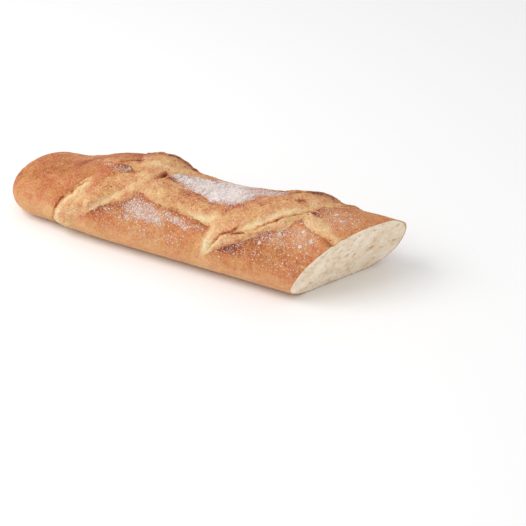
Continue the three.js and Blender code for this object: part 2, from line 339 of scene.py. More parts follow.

# What the oven scorched, and what it left pale (less than 0), and one patch of painted shade on the
# tip: (along, round, reach along, reach round, how dark).
SCORCHES_AND_TIP_SHADE = [
    (96, 14, 16, 5, 0.12),
    (55, -4, 26, 16, 0.1),
    # Painted shade, darker towards the tip's outline.
    (8, -40, 9, 34, 0.13),
    (78, -38, 5, 17, -0.16),
    (143, -8, 10, 3, -0.2),
    (234, -1.8, 4, 3, 0.2),
    (97, -11, 12, 4, 0.15),
    (165, 2, 40, 18, 0.12),
    (119, 22.5, 6, 3.5, 0.26),
    (133, 22, 9, 3, 0.16),
    (226, 15, 12, 5, 0.24),
    (239, 21, 7, 5, 0.26),
    (193, -44.5, 8, 5, 0.06),
    (182.5, -49.5, 5, 3, -0.14),
    (88, -48, 10, 5, 0.12),
    (229.5, 0, 3, 2, 0.3),
    (157, -33.5, 20, 4, -0.2),
    (237, 5, 4, 4, -0.14),
    (176, -60, 5, 16, -0.16),
    (171, -48.5, 5.5, 7, -0.14),
    (46, -56, 8, 8, -0.26),
    (238, -22, 22, 11, -0.25),
    (258, 0, 20, 14, -0.17),
]

# Where the flour lies: (along, round, reach along, reach round, how thick).
DUSTINGS = [
    (142, 1.5, 17, 8, 1.05),
    (131.5, 0.8, 7.5, 5, 1),
    (150, 10, 14, 6, 1.1),
    (172, 20, 20, 12, 1.05),
    (168, 1, 32, 18, 1.35),
    (196, 10, 27, 10, 0.82),
    (123, -37, 17, 10, 0.74),
    (142, -34.5, 7, 3.5, 0.62),
    (115, -43.5, 9, 4.5, 0.58),
    (134, -38.8, 12, 8.5, 0.72),
    (159, -40.5, 5, 3, 0.68),
    (152, -37.4, 11, 3.8, 0.74),
    (167, -38, 6, 2.8, 0.6),
    (98, -42, 14, 5, 0.42),
    (196, -46, 12, 4, 0.45),
    (222, -31, 26, 7, 0.54),
    (238, -26, 20, 10, 0.46),
    (258, -2, 22, 14, 0.48),
    (97, -11.4, 12, 3.6, 0.58),
    (82, -7, 9, 3, 0.46),
    (70, 1, 8, 4, 0.3),
    (128, -50, 32, 9, 0.3),
    (236, -42, 40, 14, 0.24),
    (84, 2, 22, 12, 0.18),
    (78, 50, 20, 14, 0.4),
    (176, 52, 24, 14, 0.5),
]
DUST_EVERYWHERE = 0.04
DUST_EDGE = 1.6  # 1 is a bell, and more keeps it even further out
DUST_LOST_ON_BLOOM = (0.2, 0.65)
DUST_LEVELS = (8, 20)

# The loose clumps of flour: how many, their half widths, and the heaps: (along, round, half width).
CLUMPS = 3000
CLUMP_SIZES = (0.18, 0.48)
HEAPS = [
    (228, -28.5, 1.2), (250, -27.3, 1.5), (242, -22, 1.2), (244, -32.6, 0.9), (216, -37, 1.0),
    (255, 2, 1.0), (261, -4, 0.9),
]
HEAP_CLUMPS = 26
HEAP_SCATTER = 0.45
SETTLED_FILM = (0.7, 1.2)  # where the flour is this thick, most of it has settled into the film
SETTLED_SHARE = 0.65
CLUMP_CHANCE = 2.2
CLUMP_SIZE_SKEW = 1.6
CLUMP_LUMPS = (0.65, 1.3)
CLUMP_STRETCH = (0.6, 1.4)
CLUMP_FLATTENING = 0.55
CLUMP_LIFT = 0.2
CLUMP_SEED = 7

# The crumb's pores: (half length, how many), with their shares of it, and how they fade out towards
# the crust.
PORES = [(0.5, 2400), (0.8, 900), (1.3, 150), (2.2, 16)]
PORE_LENGTHS = (0.7, 1.4)
PORE_WIDTHS = (0.35, 0.8)
PORE_DEPTH = 0.9
PORE_FADE = (1.2, 3.5)
PORE_SEED = 31
CRUMB_ROUGHNESS = 0.22
CRUMB_FADE = (0.5, 2)

# The fine mesh: rings along the loaf and columns round it, and the spacing of points on the cut.
TIP_RINGS = 44
RING_SPACING = 0.8
TOP_COLUMNS = 216
UNDERSIDE_COLUMNS = 24
TOP_FROM = -14  # degrees, between which the columns lie close
TOP_TO = 194
NORMAL_STEP = 0.05  # in millimetres along and radians round
CUT_TRIES = 40  # to find where each column meets the cut
CUT_EASE = 0.6  # of the way that is left, at each try
ROUND_STEPS = 24
CRUMB_SPACING = 0.75
CRUMB_ROWS = 0.87  # of that spacing, so that the triangles are even
CRUMB_STRAY = 0.18
CRUMB_MARGIN = 0.5
CRUMB_SEED = 17
LATTICE = 64  # random points a side, before the unevenness repeats

# The camera that fits the photograph: its angles, distance and aim in the loaf's own lengths.
VIEW_AZIMUTH = 27.43
VIEW_ELEVATION = 33.0
VIEW_DISTANCE = 900
VIEW_AIM = (203.1, -3.5, 0.0)
VIEW_FOCAL_PIXELS = 1297.8
IMAGE_PIXELS = 526
SENSOR_WIDTH = 36.0

# The studio, in metres: a white board, a light tent and a soft box.
BOARD_REACH = 3.0
BOARD_LEVEL = -0.0003
TENT_STRENGTH = 0.75
LAMP_SIZE = 0.9
LAMP_POWER = 9.0
LAMP_PLACE = (-0.55, -0.55, 0.95)
NEAREST_SEEN = 0.05


def linear(hex_colour):
    """An sRGB hex colour as linear red, green, blue and alpha."""
    values = [int(hex_colour[i:i + 2], 16) / 255 for i in (1, 3, 5)]
    return [v / 12.92 if v <= 0.04045 else ((v + 0.055) / 1.055) ** 2.4 for v in values] + [1.0]


def lerp(low, high, share):
    return low + (high - low) * share


def smoothstep(value, low, high):
    share = np.clip((value - low) / (high - low), 0, 1)
    return share * share * (3 - 2 * share)


def bell(distance, reach):
    return np.exp(-((distance / reach) ** 2))


def uneven(places, size, seed):
    """Smooth random heights from -1 to 1 at 3-D places, for bumps about this size."""
    lattice = np.random.default_rng(seed).uniform(-1, 1, (LATTICE,) * 3)
    scaled = places / size
    cell = np.floor(scaled).astype(int)
    share = smoothstep(scaled - cell, 0, 1)
    total = np.zeros(places.shape[:-1])
    for corner in np.ndindex(2, 2, 2):
        weight = np.prod(np.where(corner, share, 1 - share), axis=-1)
        total += weight * lattice[tuple(np.moveaxis((cell + corner) % LATTICE, -1, 0))]
    return total


def bumps(places, kinds):
    """Several sizes of unevenness together."""
    return sum(much * uneven(places, size, seed) for size, much, seed in kinds)


def rounded(value, roundness):
    """A superellipse's share of its radius, for the cosine or sine of the angle round it."""
    return np.sign(value) * np.abs(value) ** (2 / roundness)


def plain_crust(along, angle):
    """Points of the loaf without its slashes: angle 0 is the far side, a quarter turn the top."""
    into_tip = np.clip(1 - along / TIP_LENGTH, 0, 1)
    tip = (1 - into_tip ** TIP_ROUNDNESS) ** (1 / TIP_ROUNDNESS)
    grown = smoothstep(along, TIP_LENGTH, FULL_SIZE_FROM)
    half_width = HALF_WIDTH * tip * lerp(SHOULDER_WIDTH, 1, grown)
    top = lerp(TIP_LEVEL, HEIGHT * lerp(SHOULDER_HEIGHT, 1, grown), tip)
    widest = lerp(TIP_LEVEL, WIDEST_LEVEL, tip)
    base = lerp(TIP_LEVEL, -BASE_FLATTENING, tip)
    upper = np.sin(angle) >= 0
    roundness = np.where(upper, TOP_ROUNDNESS, UNDERSIDE_ROUNDNESS)
    across = half_width * rounded(np.cos(angle), roundness)
    reach = np.where(upper, top - widest, widest - base)
    level = widest + reach * rounded(np.sin(angle), roundness)
    return np.stack(np.broadcast_arrays(along, across, np.maximum(level, 0)), axis=-1)


def round_distance(angles):
    """How far each angle is from the top line, over the full-sized crust."""
    steps = np.linspace(0, 1, ROUND_STEPS + 1)[:, None]
    walk = plain_crust(np.array(FULL_SIZE_FROM), lerp(math.pi / 2, angles[None, :], steps))
    distance = np.linalg.norm(np.diff(walk, axis=0), axis=-1).sum(axis=0)
    return np.where(np.cos(angles) < 0, -distance, distance)


def smooth_line(stations):
    """A smooth line through stations, with their sizes."""
    rows = np.array(stations, float)
    rows = np.vstack([2 * rows[0] - rows[1], rows, 2 * rows[-1] - rows[-2]])
    line = []
    for place in np.linspace(0, len(stations) - 1, SLASH_STEPS + 1):
        first = min(int(place), len(stations) - 2)
        t = place - first
        before, start, end, after = rows[first:first + 4]
        leave, arrive = (end - before) / 2, (after - start) / 2
        line.append(
            (2 * t**3 - 3 * t**2 + 1) * start + (t**3 - 2 * t**2 + t) * leave
            + (3 * t**2 - 2 * t**3) * end + (t**3 - t**2) * arrive
        )
    line = np.array(line)
    line[:, 2:] = np.maximum(line[:, 2:], 0)
    return line


def nearest_on(line, along, around):
    """How far places are from a line, on which side, how far along it, and its sizes there."""
    away = np.full(along.shape, np.inf)
    side, run = np.zeros(along.shape), np.zeros(along.shape)
    sizes = np.zeros((line.shape[1] - 2, *along.shape))
    run_so_far = 0
    for start, end in zip(line[:-1], line[1:]):
        step = end - start
        length = math.hypot(step[0], step[1])
        off = along - start[0], around - start[1]
        share = np.clip((off[0] * step[0] + off[1] * step[1]) / length**2, 0, 1)
        distance = np.hypot(off[0] - share * step[0], off[1] - share * step[1])
        closer = distance < away
        away = np.where(closer, distance, away)
        side = np.where(closer, np.where(step[0] * off[1] < step[1] * off[0], -1, 1), side)
        run = np.where(closer, run_so_far + share * length, run)
        for size, first, last in zip(sizes, start[2:], end[2:]):
            size[closer] = lerp(first, last, share)[closer]
        run_so_far += length
    return away, side, run, sizes


def oven_spring(along, around, spot):
    """How far the baked crust stands out of the plain form, and how it was baked and dusted."""
    ragged = along + bumps(spot, JAGS_ALONG), around + bumps(spot, JAGS_ROUND)
    found = [nearest_on(smooth_line(slash["stations"]), *ragged) for slash in SLASHES]
    margins = np.array([sizes[0] - away for away, _, _, sizes in found])
    inside = np.maximum(margins.max(axis=0), 0)

    height = -WAIST_DEPTH * bell(along - WAIST_ALONG, WAIST_LENGTH)
    height = height * (1 - smoothstep(np.abs(around), *WAIST_FADE))
    bloom, lip, rim, step, back = np.zeros((5, *along.shape))
    terraces, browning, pale, torn, flour = np.zeros((5, *along.shape))
    shares = np.full(along.shape, 1e-6)
    for number, (slash, (away, side, run, sizes)) in enumerate(zip(SLASHES, found)):
        opening, swell, brown, curl = sizes
        opened = np.clip(opening / FULL_OPENING, 0, 1)
        others = np.delete(margins, number, axis=0).max(axis=0)
        alone = 1 - smoothstep(others, 0, MEETING_REACH)
        margin = margins[number]
        outside = np.maximum(-margin, 0)
        to_lip = side * slash["lip"] * away
        lip_side = to_lip > 0
        crisp = smoothstep(margin, -SKIN_EDGE, SKIN_EDGE)
        within = np.where(lip_side, crisp, smoothstep(margin, *BACK_EDGE))
        within = within * np.clip(opening / LEAST_OPENING, 0, 1)
        curled = np.where(lip_side, opened * curl, 0)
        rimmed = np.minimum(RIM_GAIN * curled, 1)
        backed = np.where(lip_side, 0, opened * alone * bell(margin, BACK_WIDTH))
        height = height + swell * bell(away, SWELL_REACH)
        lip = np.maximum(lip, curled * np.exp(-outside / LIP_WIDTH))
        rim = np.maximum(rim, rimmed * np.exp(-outside / RIM_WIDTH))
        flour = np.maximum(flour, slash["dust"] * curled * np.exp(-outside / DUST_WIDTH))
        step = np.maximum(step, curled * alone * np.exp(-np.maximum(margin, 0) / STEP_REACH))
        back = np.maximum(back, slash["back"] * backed)
        apart = np.full(run.shape, SLASHES_APART * number)
        grain = np.stack([run / TERRACE_STRETCH, to_lip, apart], axis=-1)
        terraces = terraces + within * bumps(grain, TERRACES)
        browning = browning + within * brown
        shares = shares + within
        bloom = np.maximum(bloom, within)
    browning = browning / shares
    terraces = terraces / np.maximum(shares, 1)

    for fold in FOLDS:
        away, _, _, (strength,) = nearest_on(smooth_line(fold["stations"]), *ragged)
        valley = strength * bell(away, fold["reach"])
        height = height - fold["depth"] * valley * bloom
        pale = np.maximum(pale, valley)
    patchy = lerp(TEAR_LEAST, 1, smoothstep(bumps(spot, TEAR_GAPS), *TEAR_RANGE))
    # Fissures sink the crust. What torn carries is painted shade in the cracks and browning on the
    # crests.
    for fissure in FISSURES:
        away, side, _, (strength,) = nearest_on(smooth_line(fissure["stations"]), *ragged)
        gap = strength * patchy * bell(away, fissure["reach"])
        torn_edge = strength * bell(side * away + TORN_EDGE_OFF, TORN_EDGE_REACH)
        height = height - fissure["depth"] * gap + fissure["edge"] * torn_edge
        torn = np.maximum(torn, gap)

    crown = BLOOM_CROWN * (1 - np.exp(-inside / CROWN_REACH)) - SKIN_STEP * step
    bloom_height = crown + TERRACE_HEIGHT * terraces + bumps(spot, BLOOM_BUMPS)
    skin_height = LIP_HEIGHT * lip + bumps(spot, SKIN_BUMPS)
    height = height + lerp(skin_height, bloom_height, bloom)

    for dust_along, dust_round, reach_along, reach_round, thick in DUSTINGS:
        off = ((along - dust_along) / reach_along) ** 2 + ((around - dust_round) / reach_round) ** 2
        flour = np.maximum(flour, thick * np.exp(-(off**DUST_EDGE)))
    flour = np.maximum(flour * (1 - smoothstep(bloom, *DUST_LOST_ON_BLOOM)), DUST_EVERYWHERE)
    flour = flour * smoothstep(spot[..., 2], *DUST_LEVELS)

    mottle = bumps(spot, BAKE_MOTTLE)
    skin_bake = lerp(*SKIN_BAKE, smoothstep(spot[..., 2], *BAKE_LEVELS))
    skin_bake = skin_bake + PATCH_BAKE * bumps(spot, BAKE_PATCHES) + SKIN_MOTTLE * mottle
    skin_bake = skin_bake + LIP_BAKE * lip**LIP_BAKE_CURVE + RIM_BAKE * rim
    bloom_bake = browning + TERRACE_BAKE * terraces + BLOOM_MOTTLE * mottle + FOLD_BAKE * pale
    # The tears add painted shade in the fissures and browning on the crests.
    bake = lerp(skin_bake, bloom_bake, bloom) + BACK_BAKE * back + TEAR_SHADE_AND_CREST_TOAST * torn
    for dark_along, dark_round, reach_along, reach_round, dark in SCORCHES_AND_TIP_SHADE:
        off = ((along - dark_along) / reach_along) ** 2 + ((around - dark_round) / reach_round) ** 2
        bake = bake + dark * np.exp(-off) * (1 + SCORCH_MOTTLE * mottle)
    return height, {"bake": bake, "bloom": bloom, "flour": flour}


def crust_points(along, angle, around):
    """Points of the finished crust, with what the oven and the flour did to each."""
    spot = plain_crust(along, angle)
    along_step = plain_crust(along + NORMAL_STEP, angle) - spot
    round_step = plain_crust(along, angle + NORMAL_STEP) - spot
    outward = np.cross(round_step, along_step)
    outward /= np.linalg.norm(outward, axis=-1, keepdims=True)
    height, finish = oven_spring(along, around, spot)
    shown = smoothstep(spot[..., 2], *RELIEF_LEVELS)
    return spot + outward * (shown * height)[..., None], finish


def on_cut(points):
    """How far points are past the bias cut, along the loaf."""
    return points[..., 0] - (CUT_AT_BASE + CUT_BIAS * points[..., 1] + CUT_LEAN * points[..., 2])


def crust_rings():
    """The crust as rings of points from just behind the tip to the cut, and their finish."""
    top = np.linspace(TOP_FROM, TOP_TO, TOP_COLUMNS, endpoint=False)
    under = np.linspace(TOP_TO, TOP_FROM + 360, UNDERSIDE_COLUMNS, endpoint=False)
    angles = np.radians(np.concatenate([top, under]))
    around = round_distance(angles)
    cut = np.full(angles.shape, float(CUT_AT_BASE))
    for _ in range(CUT_TRIES):
        cut -= CUT_EASE * on_cut(crust_points(cut, angles, around)[0])
    whole = CUT_AT_BASE + CUT_LEAN * WIDEST_LEVEL
    in_tip = TIP_LENGTH * (1 - np.cos(np.arange(1, TIP_RINGS + 1) / TIP_RINGS * math.pi / 2))
    in_body = np.linspace(TIP_LENGTH, whole, round((whole - TIP_LENGTH) / RING_SPACING) + 1)[1:]
    along = np.concatenate([in_tip, in_body])[:, None] / whole * cut[None, :]
    shape = along.shape
    points, finish = crust_points(
        along, np.broadcast_to(angles, shape), np.broadcast_to(around, shape)
    )
    points[-1, :, 0] -= on_cut(points[-1])
    return points, finish, along, np.broadcast_to(around, shape)


def inside_outline(places, outline):
    """Which flat places lie inside a closed outline."""
    inside = np.zeros(len(places), bool)
    for start, end in zip(outline, np.roll(outline, -1, axis=0)):
        crosses = (start[1] > places[:, 1]) != (end[1] > places[:, 1])
        rise = end[1] - start[1] if end[1] != start[1] else 1e-9
        where = start[0] + (places[:, 1] - start[1]) / rise * (end[0] - start[0])
        inside ^= crosses & (places[:, 0] < where)
    return inside


def crumb_pores(places, depth_in):
    """How deep the crumb's pores are at flat places on the cut, less close to the crust."""
    draw = np.random.default_rng(PORE_SEED)
    low, high = places.min(axis=0), places.max(axis=0)
    depth = np.zeros(len(places))
    for size, count in PORES:
        for _ in range(count):
            centre = draw.uniform(low, high)
            length = size * draw.uniform(*PORE_LENGTHS)
            width = length * draw.uniform(*PORE_WIDTHS)
            turn = draw.uniform(0, math.pi)
            off = places - centre
            lengthways = off[:, 0] * math.cos(turn) + off[:, 1] * math.sin(turn)
            sideways = off[:, 1] * math.cos(turn) - off[:, 0] * math.sin(turn)
            far = (lengthways / length) ** 2 + (sideways / width) ** 2
            hollow = np.sqrt(np.clip(1 - far, 0, 1))
            depth = np.maximum(depth, PORE_DEPTH * width * hollow)
    return depth * smoothstep(depth_in, *PORE_FADE)


def cut_face(rim):
    """The crumb's own points on the cut, its triangles and its finish.

    The triangles count the rim's points first."""
    outward = np.array([1, -CUT_BIAS, -CUT_LEAN])
    outward = outward / np.linalg.norm(outward)
    level = np.array([CUT_BIAS, 1, 0]) / math.hypot(CUT_BIAS, 1)
    upward = np.cross(outward, level)
    middle = rim.mean(axis=0)
    outline = np.stack([(rim - middle) @ level, (rim - middle) @ upward], axis=-1)
    low, high = outline.min(axis=0), outline.max(axis=0)
    draw = np.random.default_rng(CRUMB_SEED)
    rows = np.arange(low[1], high[1], CRUMB_SPACING * CRUMB_ROWS)
    columns = np.arange(low[0], high[0], CRUMB_SPACING)
    flat = np.array([
        (column + (number % 2) * CRUMB_SPACING / 2, row)
        for number, row in enumerate(rows) for column in columns
    ])
    flat = flat + draw.uniform(-CRUMB_STRAY, CRUMB_STRAY, flat.shape)
    flat = flat[inside_outline(flat, outline)]
    depth_in = np.min(np.linalg.norm(flat[:, None] - outline[None], axis=-1), axis=1)
    clear = depth_in > CRUMB_MARGIN
    flat, depth_in = flat[clear], depth_in[clear]
    count = len(rim)
    corners = [Vector(p) for p in np.concatenate([outline, flat])]
    _, _, triangles, origins, _, _ = geometry.delaunay_2d_cdt(
        corners, [], [list(range(count))], 1, 1e-6
    )
    source = [origin[0] for origin in origins]
    triangles = [[source[i] for i in triangle] for triangle in triangles]
    pores = crumb_pores(flat, depth_in)
    places = middle + flat[:, :1] * level + flat[:, 1:] * upward
    torn = CRUMB_ROUGHNESS * (1 + bumps(places, CRUMB_BUMPS)) * smoothstep(depth_in, *CRUMB_FADE)
    points = places - (pores + torn)[:, None] * outward
    return points, triangles, {"pore": pores, "depth_in": depth_in}


def flour_clumps(points, flour, along, around):
    """Loose clumps of flour lying on the crust, most round its thick films, as one mesh."""
    draw = np.random.default_rng(CLUMP_SEED)
    outward = np.cross(np.gradient(points, axis=1), np.gradient(points, axis=0)).reshape(-1, 3)
    outward /= np.maximum(np.linalg.norm(outward, axis=1, keepdims=True), 1e-9)
    flour = flour.reshape(-1)
    loose = flour * (1 - SETTLED_SHARE * smoothstep(flour, *SETTLED_FILM))
    points, chance = points.reshape(-1, 3), loose**CLUMP_CHANCE
    chosen = [draw.choice(len(points), CLUMPS, p=chance / chance.sum())]
    for heap_along, heap_round, half_width in HEAPS:
        scatter = draw.normal(0, HEAP_SCATTER * half_width, (HEAP_CLUMPS, 2))
        scatter = scatter + (heap_along, heap_round)
        off = (along.reshape(-1) - scatter[:, :1]) ** 2 + (around.reshape(-1) - scatter[:, 1:]) ** 2
        chosen.append(off.argmin(axis=1))
    chosen = np.concatenate(chosen)
    builder = bmesh.new()
    bmesh.ops.create_icosphere(builder, subdivisions=1, radius=1)
    ball = np.array([corner.co for corner in builder.verts])
    faces = np.array([[corner.index for corner in face.verts] for face in builder.faces])
    builder.free()
    least, most = CLUMP_SIZES
    size = least * (most / least) ** draw.uniform(0, 1, len(chosen)) ** CLUMP_SIZE_SKEW
    size[CLUMPS:] = draw.uniform(least, most, len(chosen) - CLUMPS)
    lumpy = ball * draw.uniform(*CLUMP_LUMPS, (len(chosen), len(ball), 1)) * size[:, None, None]
    lumpy = lumpy * draw.uniform(*CLUMP_STRETCH, (len(chosen), 1, 3))
    upward = outward[chosen][:, None]
    lift = (lumpy * upward).sum(axis=2, keepdims=True)
    lumpy = lumpy - CLUMP_FLATTENING * lift * upward
    corners = points[chosen][:, None] + lumpy + CLUMP_LIFT * size[:, None, None] * upward
    faces = faces + len(ball) * np.arange(len(chosen))[:, None, None]
    return add_piece("loose_flour", corners.reshape(-1, 3), faces.reshape(-1, 3).tolist())


def add_piece(name, corners, faces):
    """A smooth mesh object from corners in the loaf's lengths, moved into the shared frame."""
    shift = np.array([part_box("loaf")[0].x, -MIDDLE_ACROSS * MILLIMETRE, 0])
    mesh = bpy.data.meshes.new(name)
    mesh.from_pydata((corners * MILLIMETRE + shift).tolist(), [], faces)
    mesh.shade_smooth()
    piece = bpy.data.objects.new(name, mesh)
    bpy.context.scene.collection.objects.link(piece)
    return piece


def bake_loaf(points, finish):
    """The whole loaf as one closed mesh: crust, underside and cut crumb."""
    rings, columns, _ = points.shape
    crust = np.concatenate([[[0, 0, TIP_LEVEL]], points.reshape(-1, 3)])
    rim_first = 1 + (rings - 1) * columns
    crumb, crumb_triangles, crumb_finish = cut_face(points[-1])

    column = np.arange(columns)
    after = (column + 1) % columns
    tip_faces = np.stack([np.zeros(columns, int), 1 + after, 1 + column], axis=-1)
    ring = 1 + np.arange(rings - 1)[:, None] * columns
    next_ring = ring + columns
    quads = [ring + column, ring + after, next_ring + after, next_ring + column]
    quads = np.stack(quads, axis=-1)
    rim = np.arange(rim_first, rim_first + columns)
    number = np.concatenate([rim, len(crust) + np.arange(len(crumb))])
    cut_triangles = number[np.array(crumb_triangles)]
    faces = tip_faces.tolist() + quads.reshape(-1, 4).tolist() + cut_triangles.tolist()

    loaf = add_piece("loaf_baked", np.concatenate([crust, crumb]), faces)
    mesh = loaf.data
    kinds = np.zeros(len(faces), int)
    kinds[-len(cut_triangles):] = 1
    mesh.polygons.foreach_set("material_index", kinds)

    values_of = {}
    for name, values in finish.items():
        at_tip = [values[0].mean()]
        values_of[name] = np.concatenate([at_tip, values.reshape(-1), np.zeros(len(crumb))])
    for name, values in crumb_finish.items():
        values_of[name] = np.concatenate([np.zeros(len(crust)), values])
    for name, values in values_of.items():
        attribute = mesh.attributes.new(name, "FLOAT", "POINT")
        attribute.data.foreach_set("value", values.astype(np.float32))

    ends = np.zeros(len(mesh.edges) * 2, int)
    mesh.edges.foreach_get("vertices", ends)
    on_rim = (ends >= rim_first) & (ends < rim_first + columns)
    sharp = on_rim.reshape(-1, 2).all(axis=1)
    mesh.attributes.new("sharp_edge", "BOOLEAN", "EDGE").data.foreach_set("value", sharp)
    mesh.validate()
    mesh.update()
    return loaf


def add_node(tree, kind, settings=None, inputs=None):
    """Adds a node with its settings, and links or sets its inputs. Returns the node."""
    node = tree.nodes.new(kind)
    for name, value in (settings or {}).items():
        if name == "stops":
            ramp = node.color_ramp
            while len(ramp.elements) < len(value):
                ramp.elements.new(1.0)
            for element, (place, colour) in zip(ramp.elements, value):
                element.position = place
                element.color = linear(colour)
        else:
            setattr(node, name, value)
    for name, value in (inputs or {}).items():
        if isinstance(value, bpy.types.NodeSocket):
            tree.links.new(value, node.inputs[name])
        else:
            node.inputs[name].default_value = value
    return node


def new_material(name):
    """An empty node material with its output, and its tree."""
    material = bpy.data.materials.new(name)
    material.use_nodes = True
    material.node_tree.nodes.clear()
    return material, material.node_tree


def per_metre(millimetres):
    """The scale of a pattern whose marks are this size."""
    return 1 / (millimetres * MILLIMETRE)


def baked_crust():
    """Baked wheat crust: a skin of set starch, browned by the oven and dusted with flour.

    It is matt with a faint gloss. Torn lips and crests are darkest, and the folds that opened last
    are palest. Flour lies in a film that cracked as the loaf rose, with loose specks round it."""
    material, tree = new_material("baked_crust")
    place = add_node(tree, "ShaderNodeTexCoord").outputs["Object"]
    # The bake attribute holds the oven's browning, with painted shade in the fissures and at the
    # tip.
    bake = add_node(tree, "ShaderNodeAttribute", {"attribute_name": "bake"}).outputs["Fac"]
    bloom = add_node(tree, "ShaderNodeAttribute", {"attribute_name": "bloom"}).outputs["Fac"]
    flour = add_node(tree, "ShaderNodeAttribute", {"attribute_name": "flour"}).outputs["Fac"]

    # Bake marks: blotches 7 mm across, flecks 1.6 mm and sandy grains of 0.9 mm.
    toast = add_node(tree, "ShaderNodeTexNoise", None, {
        "Vector": place, "Scale": per_metre(7), "Detail": 4.0, "Roughness": 0.65,
    }).outputs["Fac"]
    fleck = add_node(tree, "ShaderNodeTexNoise", None, {
        "Vector": place, "Scale": per_metre(1.6), "Detail": 3.0, "Roughness": 0.7,
    }).outputs["Fac"]
    jitter = add_node(tree, "ShaderNodeTexNoise", None, {
        "Vector": place, "Scale": per_metre(1.0), "Detail": 1.0,
    }).outputs["Color"]
    wander = add_node(tree, "ShaderNodeVectorMath", {"operation": "MULTIPLY_ADD"}, {
        0: jitter, 1: (0.0012, 0.0012, 0.0012), 2: place,
    }).outputs[0]
    sand = add_node(tree, "ShaderNodeTexVoronoi", None, {"Vector": wander, "Scale": per_metre(0.9)})
    draws = add_node(tree, "ShaderNodeSeparateColor", None, {"Color": sand.outputs["Color"]})
    sandy = draws.outputs[2]
    grained = bake
    for marks, on_skin, on_bloom in ((toast, 0.18, 0.24), (fleck, 0.3, 0.36), (sandy, 0.12, 0.12)):
        reach = add_node(tree, "ShaderNodeMapRange", None, {
            "Value": bloom, "From Min": 0.0, "From Max": 1.0, "To Min": on_skin, "To Max": on_bloom,
        }).outputs["Result"]
        marked = add_node(tree, "ShaderNodeMapRange", {"clamp": False}, {
            "Value": marks, "From Min": 0.5, "From Max": 1.0, "To Min": 0.0, "To Max": reach,
        }).outputs["Result"]
        grained = add_node(tree, "ShaderNodeMath", {"operation": "ADD"}, {
            0: grained, 1: marked,
        }).outputs[0]

    # Painted shade in the pinholes of burst bubbles, which only the bloom has.
    bubble = add_node(tree, "ShaderNodeTexVoronoi", None, {"Vector": place, "Scale": per_metre(8)})
    pinhole_shade = add_node(tree, "ShaderNodeMapRange", None, {
        "Value": bubble.outputs["Distance"], "From Min": 0.04, "From Max": 0.09,
        "To Min": 0.5, "To Max": 0.0,
    }).outputs["Result"]
    settled = add_node(tree, "ShaderNodeMath", {"operation": "MULTIPLY_ADD"}, {
        0: pinhole_shade, 1: bloom, 2: grained,
    }).outputs[0]

    # From straw to dark brown, and a ruddy or tawny cast in patches 14 mm across.
    skin = add_node(tree, "ShaderNodeValToRGB", {"stops": [
        (0.0, "#d9a979"), (0.25, "#cf9566"), (0.5, "#bf794b"),
        (0.65, "#aa6338"), (0.8, "#8c4829"), (1.0, "#5f3219"),
    ]}, {"Fac": settled}).outputs["Color"]
    crumbly = add_node(tree, "ShaderNodeValToRGB", {"stops": [
        (0.0, "#dfcaa2"), (0.2, "#d9b383"), (0.4, "#d09b6b"),
        (0.55, "#c08459"), (0.75, "#9c5833"), (1.0, "#55301a"),
    ]}, {"Fac": settled}).outputs["Color"]
    browned = add_node(tree, "ShaderNodeMix", {"data_type": "RGBA"}, {
        0: bloom, 6: skin, 7: crumbly,
    }).outputs[2]
    blush = add_node(tree, "ShaderNodeTexNoise", None, {
        "Vector": place, "Scale": per_metre(14), "Detail": 3.0, "Roughness": 0.7,
    }).outputs["Fac"]
    ruddy = add_node(tree, "ShaderNodeMapRange", None, {
        "Value": blush, "From Min": 0.25, "From Max": 0.75, "To Min": 0.512, "To Max": 0.488,
    }).outputs["Result"]
    tinted = add_node(tree, "ShaderNodeHueSaturation", None, {
        "Hue": ruddy, "Color": browned,
    }).outputs["Color"]

    # The film of flour, streaked round the loaf, crackled, and thick where most of it fell.
    streaky = add_node(tree, "ShaderNodeVectorMath", {"operation": "MULTIPLY"}, {
        0: wander, 1: (1.0, 0.4, 0.4),
    }).outputs[0]
    drift = add_node(tree, "ShaderNodeTexNoise", None, {
        "Vector": streaky, "Scale": per_metre(2.6), "Detail": 4.0, "Roughness": 0.6,
    }).outputs["Fac"]
    drifted = add_node(tree, "ShaderNodeMath", {"operation": "ADD"}, {
        0: drift, 1: flour,
    }).outputs[0]
    gritty = add_node(tree, "ShaderNodeMath", {"operation": "MULTIPLY_ADD"}, {
        0: sandy, 1: 0.6, 2: drifted,
    }).outputs[0]
    vein = add_node(tree, "ShaderNodeTexNoise", None, {
        "Vector": streaky, "Scale": per_metre(5), "Detail": 2.0, "Distortion": 0.6,
    }).outputs["Fac"]
    off_vein = add_node(tree, "ShaderNodeMath", {"operation": "SUBTRACT"}, {
        0: vein, 1: 0.5,
    }).outputs[0]
    near_vein = add_node(tree, "ShaderNodeMath", {"operation": "ABSOLUTE"}, {
        0: off_vein,
    }).outputs[0]
    crackle = add_node(tree, "ShaderNodeMapRange", None, {
        "Value": near_vein, "From Min": 0.01, "From Max": 0.04, "To Min": 0.5, "To Max": 0.0,
    }).outputs["Result"]
    cracked = add_node(tree, "ShaderNodeMath", {"operation": "SUBTRACT"}, {
        0: gritty, 1: crackle,
    }).outputs[0]
    thickness = add_node(tree, "ShaderNodeMapRange", None, {
        "Value": flour, "From Min": 0.4, "From Max": 0.9, "To Min": 0.35, "To Max": 0.9,
    }).outputs["Result"]
    film = add_node(tree, "ShaderNodeMapRange", {"interpolation_type": "SMOOTHSTEP"}, {
        "Value": cracked, "From Min": 1.3, "From Max": 1.75, "To Min": 0.0, "To Max": thickness,
    }).outputs["Result"]
    veil = add_node(tree, "ShaderNodeMapRange", {"interpolation_type": "SMOOTHSTEP"}, {
        "Value": flour, "From Min": 0.45, "From Max": 1.15, "To Min": 0.0, "To Max": 0.4,
    }).outputs["Result"]
    cover = add_node(tree, "ShaderNodeMath", {"operation": "MAXIMUM"}, {
        0: film, 1: veil,
    }).outputs[0]

